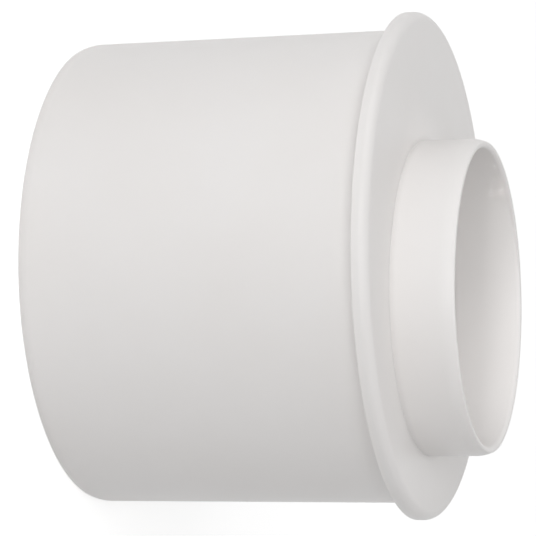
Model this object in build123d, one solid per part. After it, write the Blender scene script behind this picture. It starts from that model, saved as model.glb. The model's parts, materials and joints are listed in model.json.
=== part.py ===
from build123d import *
import os

# Eccentric pipe reducer, moulded in one piece of white plastic. All sizes are in millimetres.
# It stands on the open rim of its large spigot: that rim is at Z = 0 and its axis is the Z axis.
# A round flange closes the top of the large spigot, and stops against the end of the large duct.
# The small spigot rises from the flange's front face, on an axis moved along +X, and its bore
# goes down through the end wall into the large spigot.

# Large spigot, which slides into a 150 mm duct
large_outer_d = 149.2
large_length = 105.4
large_rim_bevel = 0.6

# Flange, sharp at the back and well rounded at the front, standing out from the large spigot's side
flange_overhang = 5.4
flange_thickness = 5.0
flange_front_round = 3.0

# Small spigot, which slides into a 100 mm duct: one long arc leads in from its lip to its side
small_outer_d = 98.8
small_length = 19.4
small_offset = 11.8
lead_in_height = 4.8

# Lip of the small spigot: a narrow flat top, eased at its outer edge and well rounded into the bore
lip_flat = 0.5
lip_outer_bevel = 0.3
lip_inner_round = 1.4

# Walls: one thickness round both spigots, and the flat end wall between the two bores
wall = 3.0
end_wall = 3.0
end_wall_corner_bevel = 2.0
bore_entry_bevel = 1.0

# Radii and heights that follow from the sizes above
large_outer_r = large_outer_d / 2
large_inner_r = large_outer_r - wall
flange_r = large_outer_r + flange_overhang
small_outer_r = small_outer_d / 2
small_inner_r = small_outer_r - wall
lip_outer_r = small_inner_r + lip_inner_round + lip_flat
front_z = large_length + flange_thickness
end_wall_under_z = front_z - end_wall
small_rim_z = front_z + small_length
lead_in_z = small_rim_z - lead_in_height

# Direction straight up in a half section, whose points are (radius, height)
upward = (0, 1)


def turned(section, offset=0.0):
    """Turn a half section into a solid, about an upright axis moved along X by the offset."""
    upright = Plane(origin=(offset, 0, 0), x_dir=(1, 0, 0), z_dir=(0, -1, 0))
    return revolve(upright * section, Axis((offset, 0, 0), (0, 0, 1)))


def round_corner(section, corner, radius):
    """Round the section's corner that lies at the given point."""
    return fillet(section.vertices().sort_by_distance(corner)[0], radius)


def bevel_corner(section, corner, length):
    """Bevel the section's corner that lies at the given point."""
    return chamfer(section.vertices().sort_by_distance(corner)[0], length)


def large_shell():
    """Large spigot, flange and end wall, before the small bore goes through."""
    section = make_face(
        Polyline(
            (0, front_z),
            (flange_r, front_z),
            (flange_r, large_length),
            (large_outer_r, large_length),
            (large_outer_r, 0),
            (large_inner_r, 0),
            (large_inner_r, end_wall_under_z),
            (0, end_wall_under_z),
            close=True,
        )
    )
    section = round_corner(section, (flange_r, front_z), flange_front_round)
    section = bevel_corner(section, (large_outer_r, 0), large_rim_bevel)
    section = bevel_corner(section, (large_inner_r, end_wall_under_z), end_wall_corner_bevel)
    return turned(section)


def small_hole():
    """Hole in the end wall for the small spigot's wall, cut half-way into that wall."""
    middle_r = small_outer_r - wall / 2
    section = make_face(
        Polyline(
            (0, end_wall_under_z),
            (middle_r, end_wall_under_z),
            (middle_r, front_z),
            (0, front_z),
            close=True,
        )
    )
    return turned(section, small_offset)


def small_wall():
    """Wall of the small spigot, from the end wall's underside up to its rounded lip."""
    side = Polyline(
        (small_inner_r, end_wall_under_z),
        (small_outer_r, end_wall_under_z),
        (small_outer_r, lead_in_z),
    )
    lead_in_arc = TangentArc(side @ 1, (lip_outer_r, small_rim_z), tangent=upward)
    bore = Polyline(lead_in_arc @ 1, (small_inner_r, small_rim_z), side @ 0)
    section = make_face([side, lead_in_arc, bore])
    section = bevel_corner(section, (lip_outer_r, small_rim_z), lip_outer_bevel)
    section = round_corner(section, (small_inner_r, small_rim_z), lip_inner_round)
    section = bevel_corner(section, (small_inner_r, end_wall_under_z), bore_entry_bevel)
    return turned(section, small_offset)


reducer = large_shell() - small_hole() + small_wall()

os.makedirs("parts", exist_ok=True)
export_step(reducer, "parts/reducer.step")
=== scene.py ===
import json
import math

import bmesh
import bpy
from bpy.props import FloatProperty, FloatVectorProperty, IntProperty, PointerProperty
from bpy.types import Operator, Panel, PropertyGroup
from mathutils import Matrix, Vector


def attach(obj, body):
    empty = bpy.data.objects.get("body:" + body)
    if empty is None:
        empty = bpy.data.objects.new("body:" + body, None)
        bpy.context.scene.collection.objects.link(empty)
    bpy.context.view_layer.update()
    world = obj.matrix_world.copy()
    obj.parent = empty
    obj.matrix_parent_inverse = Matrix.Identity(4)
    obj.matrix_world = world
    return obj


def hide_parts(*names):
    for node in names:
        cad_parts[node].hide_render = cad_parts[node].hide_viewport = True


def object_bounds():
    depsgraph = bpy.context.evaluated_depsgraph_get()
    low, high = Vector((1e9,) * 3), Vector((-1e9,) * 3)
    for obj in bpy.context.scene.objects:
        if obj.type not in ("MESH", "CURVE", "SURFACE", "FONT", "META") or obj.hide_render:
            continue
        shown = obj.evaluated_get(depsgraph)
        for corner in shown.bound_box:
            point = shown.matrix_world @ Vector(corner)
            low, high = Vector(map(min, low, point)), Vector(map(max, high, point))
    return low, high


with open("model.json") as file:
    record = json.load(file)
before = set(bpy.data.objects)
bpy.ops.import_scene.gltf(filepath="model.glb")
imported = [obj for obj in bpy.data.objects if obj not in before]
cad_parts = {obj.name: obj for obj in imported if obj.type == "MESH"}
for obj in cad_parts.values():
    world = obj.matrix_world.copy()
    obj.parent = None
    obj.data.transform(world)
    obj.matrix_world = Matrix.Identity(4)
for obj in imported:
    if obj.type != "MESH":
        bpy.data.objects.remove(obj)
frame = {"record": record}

bl_info = {
    "name": "Eccentric duct reducer",
    "version": (1, 0, 0),
    "blender": (4, 5, 0),
    "location": "View3D > Sidebar > Reducer",
    "description": "Moulds a white plastic duct reducer round its CAD frame and sets it on a studio stage",
    "category": "Object",
}

MM = 0.001
CAD_NODE = "reducer"
CAD_LOW, CAD_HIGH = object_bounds()
MOUNTS = {mount["name"]: mount for mount in frame["record"]["mounts"]}
LARGE_SPIGOT = MOUNTS["large_spigot"]
SMALL_SPIGOT = MOUNTS["small_spigot"]
FLANGE_STOP = MOUNTS["flange_stop"]
SMALL_SIDE_LENGTH = SMALL_SPIGOT["dims"]["length_mm"] * MM
SMALL_SIDE_MIDDLE_Z = SMALL_SPIGOT["pos_m"][2]

# A rounded corner is drawn with a step for each of these angles, and with no fewer steps than this
ARC_STEP = math.radians(7)
LEAST_ARC_STEPS = 4

# A wall's section runs this far along a flat face before the face itself begins
FACE_LAND = 0.4 * MM

# A point lies on a wall's open loop within the first distance, and on another point within the second
LOOP_SLACK = 0.1 * MM
MERGE_DISTANCE = 0.001 * MM

# Profile of a bevel that makes a round arc
ROUND_PROFILE = 0.5

# Ever finer layers in the noise of the pigment, of the flow streaks and of the mould's grain
MOTTLE_DETAIL = 2.0
STREAK_DETAIL = 3.0
GRAIN_DETAIL = 2.0

# Values that nearly all of a noise pattern lies between
NOISE_LOW = 0.3
NOISE_HIGH = 0.7

# Share of the sky over a surface that is left open right in a square inner corner
CORNER_OPENNESS = 0.5

# Width of the camera's frame, in millimetres
SENSOR_WIDTH = 36.0

# Straight sides round the floor's edge
FLOOR_STEPS = 96

WHITE = (1, 1, 1, 1)

# Large soft lights: name, way to the light as azimuth and elevation in degrees, and power in watts
SOFTBOXES = (
    ("key_light", 20, 20, 8.0),
    ("top_light", -38, 26, 3.7),
    ("fill_light", 128, 40, 2.3),
    ("back_light", -150, 55, 1.5),
    ("front_light", 0, 75, 1.8),
)


def linear(hex_colour):
    """Turn an sRGB hex colour into the linear red, green and blue that Blender works in."""
    shares = [int(hex_colour[place : place + 2], 16) / 255 for place in (1, 3, 5)]
    return tuple(s / 12.92 if s <= 0.04045 else ((s + 0.055) / 1.055) ** 2.4 for s in shares)


class ReducerSizes(PropertyGroup):
    """Sizes of the moulding. The main ones come from the CAD frame."""

    large_radius: FloatProperty(
        name="Large spigot radius",
        description="Outside radius of the spigot that slides into the large duct",
        default=LARGE_SPIGOT["dims"]["r_mm"] * MM,
        unit="LENGTH",
    )
    flange_radius: FloatProperty(
        name="Flange radius",
        description="Outside radius of the flange",
        default=min(CAD_HIGH.x, CAD_HIGH.y),
        unit="LENGTH",
    )
    flange_back_z: FloatProperty(
        name="Flange back",
        description="Height of the flange's back, which stops against the large duct",
        default=FLANGE_STOP["pos_m"][2],
        unit="LENGTH",
    )
    front_z: FloatProperty(
        name="Flange front",
        description="Height of the flange's front face, where the small spigot begins",
        default=SMALL_SIDE_MIDDLE_Z - SMALL_SIDE_LENGTH / 2,
        unit="LENGTH",
    )
    small_radius: FloatProperty(
        name="Small spigot radius",
        description="Outside radius of the spigot that slides into the small duct",
        default=SMALL_SPIGOT["dims"]["r_mm"] * MM,
        unit="LENGTH",
    )
    small_offset: FloatProperty(
        name="Small spigot offset",
        description="Distance from the large spigot's axis to the small one's",
        default=SMALL_SPIGOT["pos_m"][0],
        unit="LENGTH",
    )
    lead_in_z: FloatProperty(
        name="Lead-in start",
        description="Height at which the small spigot's side begins to curve in to its lip",
        default=SMALL_SIDE_MIDDLE_Z + SMALL_SIDE_LENGTH / 2,
        unit="LENGTH",
    )
    top_z: FloatProperty(
        name="Lip height",
        description="Height of the small spigot's lip",
        default=CAD_HIGH.z,
        unit="LENGTH",
    )
    wall: FloatProperty(
        name="Wall",
        description="Thickness of both spigots' walls",
        default=3.0 * MM,
        unit="LENGTH",
    )
    end_wall: FloatProperty(
        name="End wall",
        description="Thickness of the flat wall between the two spigots",
        default=3.0 * MM,
        unit="LENGTH",
    )
    lip_flat: FloatProperty(
        name="Lip flat",
        description="Width of the flat ring on top of the small spigot's lip, outside the bore's rounding",
        default=0.5 * MM,
        unit="LENGTH",
    )
    lip_outer_round: FloatProperty(
        name="Lip outer rounding",
        description="Radius of the lip's outer edge",
        default=0.6 * MM,
        unit="LENGTH",
    )
    lip_inner_round: FloatProperty(
        name="Lip inner rounding",
        description="Radius of the lip's inner edge, where it turns into the bore",
        default=1.4 * MM,
        unit="LENGTH",
    )
    lead_in_round: FloatProperty(
        name="Lead-in rounding",
        description="Radius of the long arc between the small spigot's side and its lip",
        default=9.2 * MM,
        unit="LENGTH",
    )
    front_round: FloatProperty(
        name="Flange front rounding",
        description="Radius of the flange's front edge",
        default=3.0 * MM,
        unit="LENGTH",
    )
    rim_lead_height: FloatProperty(
        name="Rim lead-in height",
        description="Height over which the large spigot's side curves in to its open rim",
        default=3.5 * MM,
        unit="LENGTH",
    )
    rim_lead_depth: FloatProperty(
        name="Rim lead-in depth",
        description="Distance by which that curve draws the rim in from the side",
        default=0.8 * MM,
        unit="LENGTH",
    )
    rim_lead_round: FloatProperty(
        name="Rim lead-in rounding",
        description="Radius of the long arc between the large spigot's side and its rim",
        default=6.8 * MM,
        unit="LENGTH",
    )
    rim_round: FloatProperty(
        name="Rim rounding",
        description="Radius of the large rim's outer edge",
        default=0.4 * MM,
        unit="LENGTH",
    )
    fine_round: FloatProperty(
        name="Fine rounding",
        description="Radius that the mould leaves on every edge that looks sharp",
        default=0.3 * MM,
        unit="LENGTH",
    )
    root_round: FloatProperty(
        name="Root rounding",
        description="Radius in the sharp corners under the flange and round the small spigot's foot",
        default=0.03 * MM,
        unit="LENGTH",
    )
    inner_round: FloatProperty(
        name="Inner rounding",
        description="Radius of the hidden corners under the end wall",
        default=1.6 * MM,
        unit="LENGTH",
    )
    turn_steps: IntProperty(
        name="Steps round",
        description="Faces round each spigot",
        default=256,
        subtype="UNSIGNED",
    )


class ReducerPlastic(PropertyGroup):
    """Colours and surface of the white plastic."""

    pale: FloatVectorProperty(
        name="Pale white",
        description="The plastic's colour where the pigment is thin",
        default=linear("#F5F3F2"),
        subtype="COLOR",
    )
    deep: FloatVectorProperty(
        name="Deep white",
        description="The plastic's colour where the pigment is dense",
        default=linear("#F1EEEC"),
        subtype="COLOR",
    )
    mottle_size: FloatProperty(
        name="Mottle size",
        description="Distance over which the pigment's density drifts",
        default=40 * MM,
        unit="LENGTH",
    )
    streak_width: FloatProperty(
        name="Streak width",
        description="Width of the faint streaks that the flowing plastic leaves in the gloss",
        default=5 * MM,
        unit="LENGTH",
    )
    streak_length: FloatProperty(
        name="Streak length",
        description="Length of those streaks, along the way the mould was filled",
        default=60 * MM,
        unit="LENGTH",
    )
    grain_size: FloatProperty(
        name="Grain size",
        description="Distance between the bumps of the mould's fine grain, as drawn",
        default=0.9 * MM,
        unit="LENGTH",
    )
    grain_depth: FloatProperty(
        name="Grain depth",
        description="Height of those bumps",
        default=0.002 * MM,
        unit="LENGTH",
    )
    # Painted shade: share of the colour taken away right in a sharp inner corner, where little light reaches
    painted_corner_shade: FloatProperty(
        name="Painted corner shade",
        description="Share of the colour that painted shade takes away right in a sharp inner corner",
        default=0.1,
        subtype="FACTOR",
    )
    # Painted shade: distance from a corner over which that darkening fades out
    painted_shade_reach: FloatProperty(
        name="Painted shade reach",
        description="Distance from a corner over which its painted shade fades out",
        default=2 * MM,
        unit="LENGTH",
    )
    gloss_roughness: FloatProperty(
        name="Smoothest",
        description="Roughness of the glossiest streaks",
        default=0.36,
        subtype="FACTOR",
    )
    satin_roughness: FloatProperty(
        name="Roughest",
        description="Roughness of the dullest streaks",
        default=0.42,
        subtype="FACTOR",
    )
    refraction: FloatProperty(
        name="Refractive index",
        description="Refractive index of the plastic",
        default=1.52,
        subtype="UNSIGNED",
    )
    reflection: FloatProperty(
        name="Reflection",
        description="Strength of the reflections, where 0.5 is what the refractive index gives",
        default=0.3,
        subtype="FACTOR",
    )


class ReducerStage(PropertyGroup):
    """Camera, lights and floor."""

    camera_azimuth: FloatProperty(
        name="Camera azimuth",
        description="Way from the object to the camera, turned from -Y towards +X",
        default=math.radians(30.893),
        subtype="ANGLE",
    )
    camera_elevation: FloatProperty(
        name="Camera elevation",
        description="Height of the camera above level",
        default=math.radians(17.297),
        subtype="ANGLE",
    )
    camera_roll: FloatProperty(
        name="Camera roll",
        description="Turn of the camera about its line of sight, which lays the object on its side",
        default=math.radians(88.738),
        subtype="ANGLE",
    )
    camera_target: FloatVectorProperty(
        name="Camera target",
        description="Point in the middle of the picture",
        default=(0.971 * MM, -2.435 * MM, 56.59 * MM),
        subtype="XYZ",
    )
    camera_distance: FloatProperty(
        name="Camera distance",
        description="Distance from the camera to its target",
        default=830.3 * MM,
        unit="LENGTH",
    )
    camera_lens: FloatProperty(
        name="Lens",
        description="Focal length in millimetres, on a frame 36 mm wide",
        default=173.8,
        unit="CAMERA",
    )
    softbox_size: FloatProperty(
        name="Softbox size",
        description="Width and height of each large soft light",
        default=1.0,
        unit="LENGTH",
    )
    softbox_distance: FloatProperty(
        name="Softbox distance",
        description="Distance of each large soft light from the object's middle",
        default=1.4,
        unit="LENGTH",
    )
    strip_width: FloatProperty(
        name="Strip light width",
        description="Width of the gridded strip light that looks into the small bore",
        default=100 * MM,
        unit="LENGTH",
    )
    strip_height: FloatProperty(
        name="Strip light height",
        description="Height of that light",
        default=6 * MM,
        unit="LENGTH",
    )
    strip_distance: FloatProperty(
        name="Strip light distance",
        description="Distance of that light from the bore's far side",
        default=300 * MM,
        unit="LENGTH",
    )
    strip_depth: FloatProperty(
        name="Strip light depth",
        description="Depth below the lip of the point that it shines on",
        default=1.3 * MM,
        unit="LENGTH",
    )
    strip_azimuth: FloatProperty(
        name="Strip light azimuth",
        description="Way to that light, turned from -Y towards +X",
        default=math.radians(21),
        subtype="ANGLE",
    )
    strip_elevation: FloatProperty(
        name="Strip light elevation",
        description="Height of that light above level",
        default=math.radians(6),
        subtype="ANGLE",
    )
    strip_spread: FloatProperty(
        name="Strip light spread",
        description="Angle that the grid on its front lets its light spread over",
        default=math.radians(5),
        subtype="ANGLE",
    )
    strip_power: FloatProperty(
        name="Strip light power",
        description="Power of that light",
        default=0.0006,
        precision=4,
        unit="POWER",
    )
    inner_size: FloatProperty(
        name="Inner light size",
        description="Width and height of the light inside the large spigot, which shines up its bore",
        default=90 * MM,
        unit="LENGTH",
    )
    inner_height: FloatProperty(
        name="Inner light height",
        description="Height of that light above the floor",
        default=4 * MM,
        unit="LENGTH",
    )
    inner_power: FloatProperty(
        name="Inner light power",
        description="Power of that light",
        default=0.02,
        precision=3,
        unit="POWER",
    )
    room_strength: FloatProperty(
        name="Room light",
        description="Strength of the even light from the white room",
        default=0.24,
        subtype="FACTOR",
    )
    floor_radius: FloatProperty(
        name="Floor radius",
        description="Radius of the round floor",
        default=4.0,
        unit="LENGTH",
    )
    floor_gap: FloatProperty(
        name="Floor gap",
        description="Hair's breadth that keeps the floor and the large rim apart",
        default=0.02 * MM,
        unit="LENGTH",
    )
    floor_colour: FloatVectorProperty(
        name="Floor colour",
        description="Colour of the floor where it lights the object",
        default=linear("#E8E8E8"),
        subtype="COLOR",
    )
    floor_glow: FloatProperty(
        name="Floor white",
        description="White added to the floor where it is seen, away from the object",
        default=0.62,
        subtype="FACTOR",
    )
    foot_glow: FloatProperty(
        name="Foot white",
        description="White added to the floor under the object, less so that the shadow at its foot shows",
        default=0.54,
        subtype="FACTOR",
    )
    foot_reach: FloatProperty(
        name="Foot reach",
        description="Distance from the object at which the floor is wholly white",
        default=500 * MM,
        unit="LENGTH",
    )


def round_corner(bm, corner, radius):
    """Round a corner of a wire with an arc that runs smoothly into both of its edges."""
    ways = [edge.other_vert(corner).co - corner.co for edge in corner.link_edges]
    turn = math.pi - ways[0].angle(ways[1])
    bmesh.ops.bevel(
        bm,
        geom=[corner],
        offset=radius * math.tan(turn / 2),
        offset_type="OFFSET",
        segments=max(LEAST_ARC_STEPS, math.ceil(turn / ARC_STEP)),
        profile=ROUND_PROFILE,
        affect="VERTICES",
    )


def spin_wall(bm, section, axis_x, steps):
    """Draw a wall's half section from (radius, height, rounding) corners, and spin it about its axis."""
    drawn_before = set(bm.verts)
    corners = [bm.verts.new((axis_x + radius, 0, height)) for radius, height, rounding in section]
    for start, end in zip(corners, corners[1:]):
        bm.edges.new((start, end))
    for corner, (radius, height, rounding) in zip(corners, section):
        if rounding:
            round_corner(bm, corner, rounding)
    wire = [vert for vert in bm.verts if vert not in drawn_before]
    wire_edges = {edge for vert in wire for edge in vert.link_edges}
    bmesh.ops.spin(
        bm,
        geom=wire + list(wire_edges),
        cent=(axis_x, 0, 0),
        axis=(0, 0, 1),
        angle=math.tau,
        steps=steps,
        use_merge=True,
    )


def grow_face(bm, height, small, large):
    """Grow the small wall's open loop into a flat, eccentric ring that ends on the large wall's loop.

    Both loops lie at the given height, and each is given as its axis and its radius.
    """
    small_axis, small_radius = small
    large_axis, large_radius = large
    middle = Vector((small_axis, 0, height))
    loop = [
        edge
        for edge in bm.edges
        if edge.is_boundary
        and all(abs((vert.co - middle).length - small_radius) < LOOP_SLACK for vert in edge.verts)
    ]
    grown = bmesh.ops.extrude_edge_only(bm, edges=loop)["geom"]
    ring = [part for part in grown if isinstance(part, bmesh.types.BMVert)]
    stretch = large_radius / small_radius
    bmesh.ops.scale(bm, verts=ring, vec=(stretch, stretch, 1), space=Matrix.Translation(-middle))
    bmesh.ops.translate(bm, verts=ring, vec=(large_axis - small_axis, 0, 0))


def tangent_length(depth, height):
    """Length of the tangents, from corner to arc, of a lead-in arc of this depth and height."""
    return (depth**2 + height**2) / (2 * height)


def large_section(sizes, under_z):
    """Half section of the flange's edge and the large spigot, from the front face to the end wall."""
    inner = sizes.large_radius - sizes.wall
    rise = sizes.rim_lead_height
    lead_in_corner_z = rise - tangent_length(sizes.rim_lead_depth, rise)
    return (
        (sizes.flange_radius - sizes.front_round - FACE_LAND, sizes.front_z, 0),
        (sizes.flange_radius, sizes.front_z, sizes.front_round),
        (sizes.flange_radius, sizes.flange_back_z, sizes.fine_round),
        (sizes.large_radius, sizes.flange_back_z, sizes.root_round),
        (sizes.large_radius, lead_in_corner_z, sizes.rim_lead_round),
        (sizes.large_radius - sizes.rim_lead_depth, 0, sizes.rim_round),
        (inner, 0, sizes.fine_round),
        (inner, under_z, sizes.inner_round),
        (inner - sizes.inner_round - FACE_LAND, under_z, 0),
    )


def small_section(sizes, under_z):
    """Half section of the small spigot, from the front face over the lip and down the bore."""
    inner = sizes.small_radius - sizes.wall
    lip_outer = inner + sizes.lip_inner_round + sizes.lip_flat
    rise = sizes.top_z - sizes.lead_in_z
    lead_in_corner_z = sizes.lead_in_z + tangent_length(sizes.small_radius - lip_outer, rise)
    return (
        (sizes.small_radius + sizes.root_round + FACE_LAND, sizes.front_z, 0),
        (sizes.small_radius, sizes.front_z, sizes.root_round),
        (sizes.small_radius, lead_in_corner_z, sizes.lead_in_round),
        (lip_outer, sizes.top_z, sizes.lip_outer_round),
        (inner, sizes.top_z, sizes.lip_inner_round),
        (inner, under_z, sizes.inner_round),
        (inner + sizes.inner_round + FACE_LAND, under_z, 0),
    )


def add_node(tree, kind, inputs=None, **settings):
    """Add a node with its settings, and give each named input a value or another node's output."""
    node = tree.nodes.new(kind)
    for name, value in settings.items():
        setattr(node, name, value)
    for name, value in (inputs or {}).items():
        if isinstance(value, bpy.types.NodeSocket):
            tree.links.new(value, node.inputs[name])
        else:
            node.inputs[name].default_value = value
    return node


def moulded_white_plastic(plastic):
    """Injection-moulded white ABS: a soft, slightly warm white under a clear semi-gloss.

    The pigment drifts a little, the gloss has faint streaks along the way the plastic flowed, the
    mould's grain breaks up the sharpest reflections, and painted shade darkens the sharp inner corners.
    """
    material = bpy.data.materials.new("moulded_white_plastic")
    material.use_nodes = True
    tree = material.node_tree
    tree.nodes.clear()
    place = add_node(tree, "ShaderNodeTexCoord").outputs["Object"]

    # Pigment: two close whites, in soft patches
    mottle = add_node(
        tree,
        "ShaderNodeTexNoise",
        {"Vector": place, "Scale": 1 / plastic.mottle_size, "Detail": MOTTLE_DETAIL},
    )
    tint = add_node(tree, "ShaderNodeValToRGB", {"Fac": mottle.outputs["Fac"]})
    tint.color_ramp.elements[0].color = (*plastic.deep, 1)
    tint.color_ramp.elements[1].color = (*plastic.pale, 1)

    # Corners: painted shade, a soft dark line along each sharp inner corner, darker where the ambient
    # occlusion finds less open sky
    corner_occlusion = add_node(
        tree,
        "ShaderNodeAmbientOcclusion",
        {"Distance": plastic.painted_shade_reach},
        only_local=True,
    )
    corner_light_share = add_node(
        tree,
        "ShaderNodeMapRange",
        {"Value": corner_occlusion.outputs["AO"], "From Min": CORNER_OPENNESS, "To Min": 1 - plastic.painted_corner_shade},
    )
    corner_shaded = add_node(
        tree,
        "ShaderNodeVectorMath",
        {0: tint.outputs["Color"], "Scale": corner_light_share.outputs["Result"]},
        operation="SCALE",
    )

    # Flow streaks: long and narrow patches of gloss, drawn out along the spigots
    drawn_out = add_node(
        tree,
        "ShaderNodeMapping",
        {"Vector": place, "Scale": (1.0, 1.0, plastic.streak_width / plastic.streak_length)},
    )
    streaks = add_node(
        tree,
        "ShaderNodeTexNoise",
        {
            "Vector": drawn_out.outputs["Vector"],
            "Scale": 1 / plastic.streak_width,
            "Detail": STREAK_DETAIL,
        },
    )
    gloss = add_node(
        tree,
        "ShaderNodeMapRange",
        {
            "Value": streaks.outputs["Fac"],
            "From Min": NOISE_LOW,
            "From Max": NOISE_HIGH,
            "To Min": plastic.gloss_roughness,
            "To Max": plastic.satin_roughness,
        },
    )

    # Mould grain: the real one is some tenths of a millimetre apart, and is drawn coarser so that it shows
    grain = add_node(
        tree,
        "ShaderNodeTexNoise",
        {"Vector": place, "Scale": 1 / plastic.grain_size, "Detail": GRAIN_DETAIL},
    )
    bumps = add_node(
        tree,
        "ShaderNodeBump",
        {"Height": grain.outputs["Fac"], "Distance": plastic.grain_depth, "Strength": 1.0},
    )

    surface = add_node(
        tree,
        "ShaderNodeBsdfPrincipled",
        {
            # Base colour with the painted shade of the inner corners in it
            "Base Color": corner_shaded.outputs["Vector"],
            "Roughness": gloss.outputs["Result"],
            "IOR": plastic.refraction,
            "Specular IOR Level": plastic.reflection,
            "Normal": bumps.outputs["Normal"],
        },
    )
    add_node(tree, "ShaderNodeOutputMaterial", {"Surface": surface.outputs["BSDF"]})
    return material


class MESH_OT_reducer_moulding(Operator):
    """Mould the reducer: two walls spun about their axes, joined by the flange's face and the end wall"""

    bl_idname = "mesh.reducer_moulding"
    bl_label = "Mould the reducer"

    def execute(self, context):
        sizes = context.scene.reducer_sizes
        under_z = sizes.front_z - sizes.end_wall
        large = large_section(sizes, under_z)
        small = small_section(sizes, under_z)
        bm = bmesh.new()
        spin_wall(bm, large, 0.0, sizes.turn_steps)
        spin_wall(bm, small, sizes.small_offset, sizes.turn_steps)
        # The sections' first ends meet in the flange's face, and their last ends under the end wall
        for end in (0, -1):
            small_reach, height = small[end][:2]
            large_reach = large[end][0]
            grow_face(bm, height, (sizes.small_offset, small_reach), (0.0, large_reach))
        bmesh.ops.remove_doubles(bm, verts=bm.verts, dist=MERGE_DISTANCE)
        bmesh.ops.recalc_face_normals(bm, faces=bm.faces)
        if not all(edge.is_manifold for edge in bm.edges):
            raise RuntimeError("the moulding's surface isn't closed")
        for face in bm.faces:
            face.smooth = True
        mesh = bpy.data.meshes.new("reducer_moulding")
        bm.to_mesh(mesh)
        bm.free()
        moulding = bpy.data.objects.new("reducer_moulding", mesh)
        context.scene.collection.objects.link(moulding)
        flat_faces = moulding.modifiers.new("keep_flat_faces_flat", "WEIGHTED_NORMAL")
        flat_faces.mode = "FACE_AREA"
        mesh.materials.append(moulded_white_plastic(context.scene.reducer_plastic))
        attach(moulding, "root")
        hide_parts(CAD_NODE)
        return {"FINISHED"}


def way_to(azimuth, elevation):
    """Direction from the object, by an angle turned from -Y towards +X and a height above level."""
    level = math.cos(elevation)
    return Vector((math.sin(azimuth) * level, -math.cos(azimuth) * level, math.sin(elevation)))


def add_camera(scene, stage):
    """Camera at the picture's viewing angle."""
    lens = bpy.data.cameras.new("camera")
    lens.lens = stage.camera_lens
    lens.sensor_width = SENSOR_WIDTH
    camera = bpy.data.objects.new("camera", lens)
    back = way_to(stage.camera_azimuth, stage.camera_elevation)
    upright = back.to_track_quat("Z", "Y").to_matrix().to_4x4()
    roll = Matrix.Rotation(stage.camera_roll, 4, "Z")
    place = Matrix.Translation(Vector(stage.camera_target) + back * stage.camera_distance)
    camera.matrix_world = place @ upright @ roll
    scene.collection.objects.link(camera)
    scene.camera = camera


def add_area_light(scene, name, aim, way, distance, size, power, spread=math.pi):
    """Area light that faces a point, of a given width and height, with a grid where its spread is narrow."""
    panel = bpy.data.lights.new(name, "AREA")
    panel.shape = "RECTANGLE"
    panel.size, panel.size_y = size
    panel.energy = power
    panel.spread = spread
    light = bpy.data.objects.new(name, panel)
    light.visible_camera = False
    place = Matrix.Translation(aim + way * distance)
    light.matrix_world = place @ way.to_track_quat("Z", "Y").to_matrix().to_4x4()
    scene.collection.objects.link(light)


def add_lights(scene, stage, sizes):
    """Large soft lights all round, a narrow one into the small bore and one inside the large spigot.

    The last one stands for the light that comes in at the open rim when the fitting lies on its side.
    """
    middle = (CAD_LOW + CAD_HIGH) / 2
    square = (stage.softbox_size, stage.softbox_size)
    for name, azimuth, elevation, power in SOFTBOXES:
        way = way_to(math.radians(azimuth), math.radians(elevation))
        add_area_light(scene, name, middle, way, stage.softbox_distance, square, power)
    far_side = Vector((sizes.small_offset, 0, sizes.top_z - stage.strip_depth))
    far_side -= way_to(stage.strip_azimuth, 0) * (sizes.small_radius - sizes.wall)
    add_area_light(
        scene,
        "bore_light",
        far_side,
        way_to(stage.strip_azimuth, stage.strip_elevation),
        stage.strip_distance,
        (stage.strip_width, stage.strip_height),
        stage.strip_power,
        stage.strip_spread,
    )
    add_area_light(
        scene,
        "inner_light",
        Vector((0, 0, sizes.front_z)),
        Vector((0, 0, -1)),
        sizes.front_z - stage.inner_height,
        (stage.inner_size, stage.inner_size),
        stage.inner_power,
    )


def seen_ray(tree):
    """Output that is 1 for what the camera sees, straight or by a reflection or through glass."""
    ray = add_node(tree, "ShaderNodeLightPath")
    mirrored = add_node(
        tree,
        "ShaderNodeMath",
        {0: ray.outputs["Is Glossy Ray"], 1: ray.outputs["Is Transmission Ray"]},
        operation="MAXIMUM",
    )
    seen = add_node(
        tree,
        "ShaderNodeMath",
        {0: ray.outputs["Is Camera Ray"], 1: mirrored.outputs[0]},
        operation="MAXIMUM",
    )
    return seen.outputs[0]


def light_room(scene, stage):
    """White room: it looks white, and lights the object evenly at its own strength."""
    room = bpy.data.worlds.new("white_room")
    room.use_nodes = True
    tree = room.node_tree
    tree.nodes.clear()
    even = add_node(tree, "ShaderNodeBackground", {"Color": WHITE, "Strength": stage.room_strength})
    white = add_node(tree, "ShaderNodeBackground", {"Color": WHITE, "Strength": 1.0})
    shown = add_node(
        tree,
        "ShaderNodeMixShader",
        {0: seen_ray(tree), 1: even.outputs[0], 2: white.outputs[0]},
    )
    add_node(tree, "ShaderNodeOutputWorld", {"Surface": shown.outputs[0]})
    scene.world = room


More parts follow.
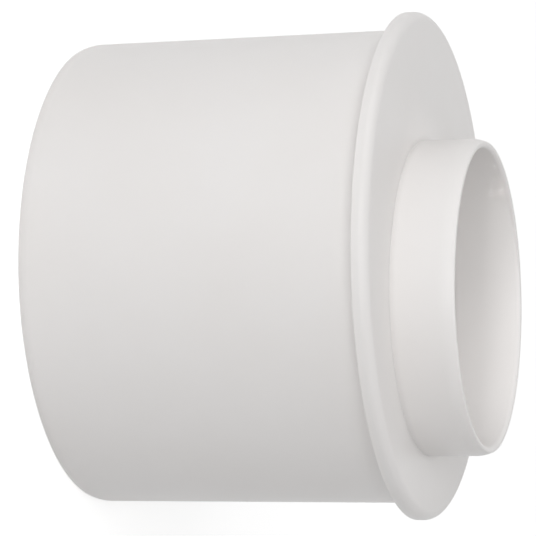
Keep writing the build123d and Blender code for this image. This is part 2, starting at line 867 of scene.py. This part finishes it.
def pale_floor(stage):
    """Matt white board: it lights the object as a pale floor does, and looks white but for a faint shadow.

    From below it is clear, so that the open end of the large spigot can be looked into.
    """
    material = bpy.data.materials.new("matt_white_board")
    material.use_nodes = True
    tree = material.node_tree
    tree.nodes.clear()
    board = add_node(tree, "ShaderNodeBsdfDiffuse", {"Color": (*stage.floor_colour, 1)})
    place = add_node(tree, "ShaderNodeTexCoord").outputs["Object"]
    from_object = add_node(tree, "ShaderNodeVectorMath", {0: place}, operation="LENGTH")
    strength = add_node(
        tree,
        "ShaderNodeMapRange",
        {
            "Value": from_object.outputs["Value"],
            "From Max": stage.foot_reach,
            "To Min": stage.foot_glow,
            "To Max": stage.floor_glow,
        },
    )
    glow = add_node(
        tree,
        "ShaderNodeEmission",
        {"Color": WHITE, "Strength": strength.outputs["Result"]},
    )
    white = add_node(tree, "ShaderNodeAddShader", {0: board.outputs[0], 1: glow.outputs[0]})
    shown = add_node(
        tree,
        "ShaderNodeMixShader",
        {0: seen_ray(tree), 1: board.outputs[0], 2: white.outputs[0]},
    )
    below = add_node(tree, "ShaderNodeNewGeometry").outputs["Backfacing"]
    clear = add_node(tree, "ShaderNodeBsdfTransparent")
    one_sided = add_node(
        tree,
        "ShaderNodeMixShader",
        {0: below, 1: shown.outputs[0], 2: clear.outputs[0]},
    )
    add_node(tree, "ShaderNodeOutputMaterial", {"Surface": one_sided.outputs[0]})
    return material


def add_floor(scene, stage):
    """Round floor under the large rim, wide enough to fill the picture."""
    bm = bmesh.new()
    bmesh.ops.create_circle(
        bm,
        cap_ends=True,
        radius=stage.floor_radius,
        segments=FLOOR_STEPS,
        matrix=Matrix.Translation((0, 0, CAD_LOW.z - stage.floor_gap)),
    )
    mesh = bpy.data.meshes.new("floor")
    bm.to_mesh(mesh)
    bm.free()
    mesh.materials.append(pale_floor(stage))
    floor = bpy.data.objects.new("floor", mesh)
    scene.collection.objects.link(floor)


class SCENE_OT_reducer_stage(Operator):
    """Set the stage: white floor and room, soft lights, and a camera at the picture's viewing angle"""

    bl_idname = "scene.reducer_stage"
    bl_label = "Set the stage"

    def execute(self, context):
        scene = context.scene
        stage = scene.reducer_stage
        scene.view_settings.view_transform = "Standard"
        add_floor(scene, stage)
        light_room(scene, stage)
        add_lights(scene, stage, scene.reducer_sizes)
        add_camera(scene, stage)
        return {"FINISHED"}


class VIEW3D_PT_reducer(Panel):
    """Sizes, colours and steps of the reducer"""

    bl_label = "Duct reducer"
    bl_space_type = "VIEW_3D"
    bl_region_type = "UI"
    bl_category = "Reducer"

    def draw(self, context):
        steps = (
            ("reducer_sizes", MESH_OT_reducer_moulding),
            ("reducer_plastic", None),
            ("reducer_stage", SCENE_OT_reducer_stage),
        )
        for group_name, operator in steps:
            box = self.layout.box()
            group = getattr(context.scene, group_name)
            for name in group.bl_rna.properties.keys():
                if name not in ("rna_type", "name"):
                    box.prop(group, name)
            if operator:
                box.operator(operator.bl_idname)


CLASSES = (
    ReducerSizes,
    ReducerPlastic,
    ReducerStage,
    MESH_OT_reducer_moulding,
    SCENE_OT_reducer_stage,
    VIEW3D_PT_reducer,
)


def register():
    for cls in CLASSES:
        bpy.utils.register_class(cls)
    bpy.types.Scene.reducer_sizes = PointerProperty(type=ReducerSizes)
    bpy.types.Scene.reducer_plastic = PointerProperty(type=ReducerPlastic)
    bpy.types.Scene.reducer_stage = PointerProperty(type=ReducerStage)


def unregister():
    del bpy.types.Scene.reducer_stage
    del bpy.types.Scene.reducer_plastic
    del bpy.types.Scene.reducer_sizes
    for cls in reversed(CLASSES):
        bpy.utils.unregister_class(cls)


def main():
    register()
    bpy.ops.mesh.reducer_moulding()
    bpy.ops.scene.reducer_stage()


if __name__ == "__main__":
    main()
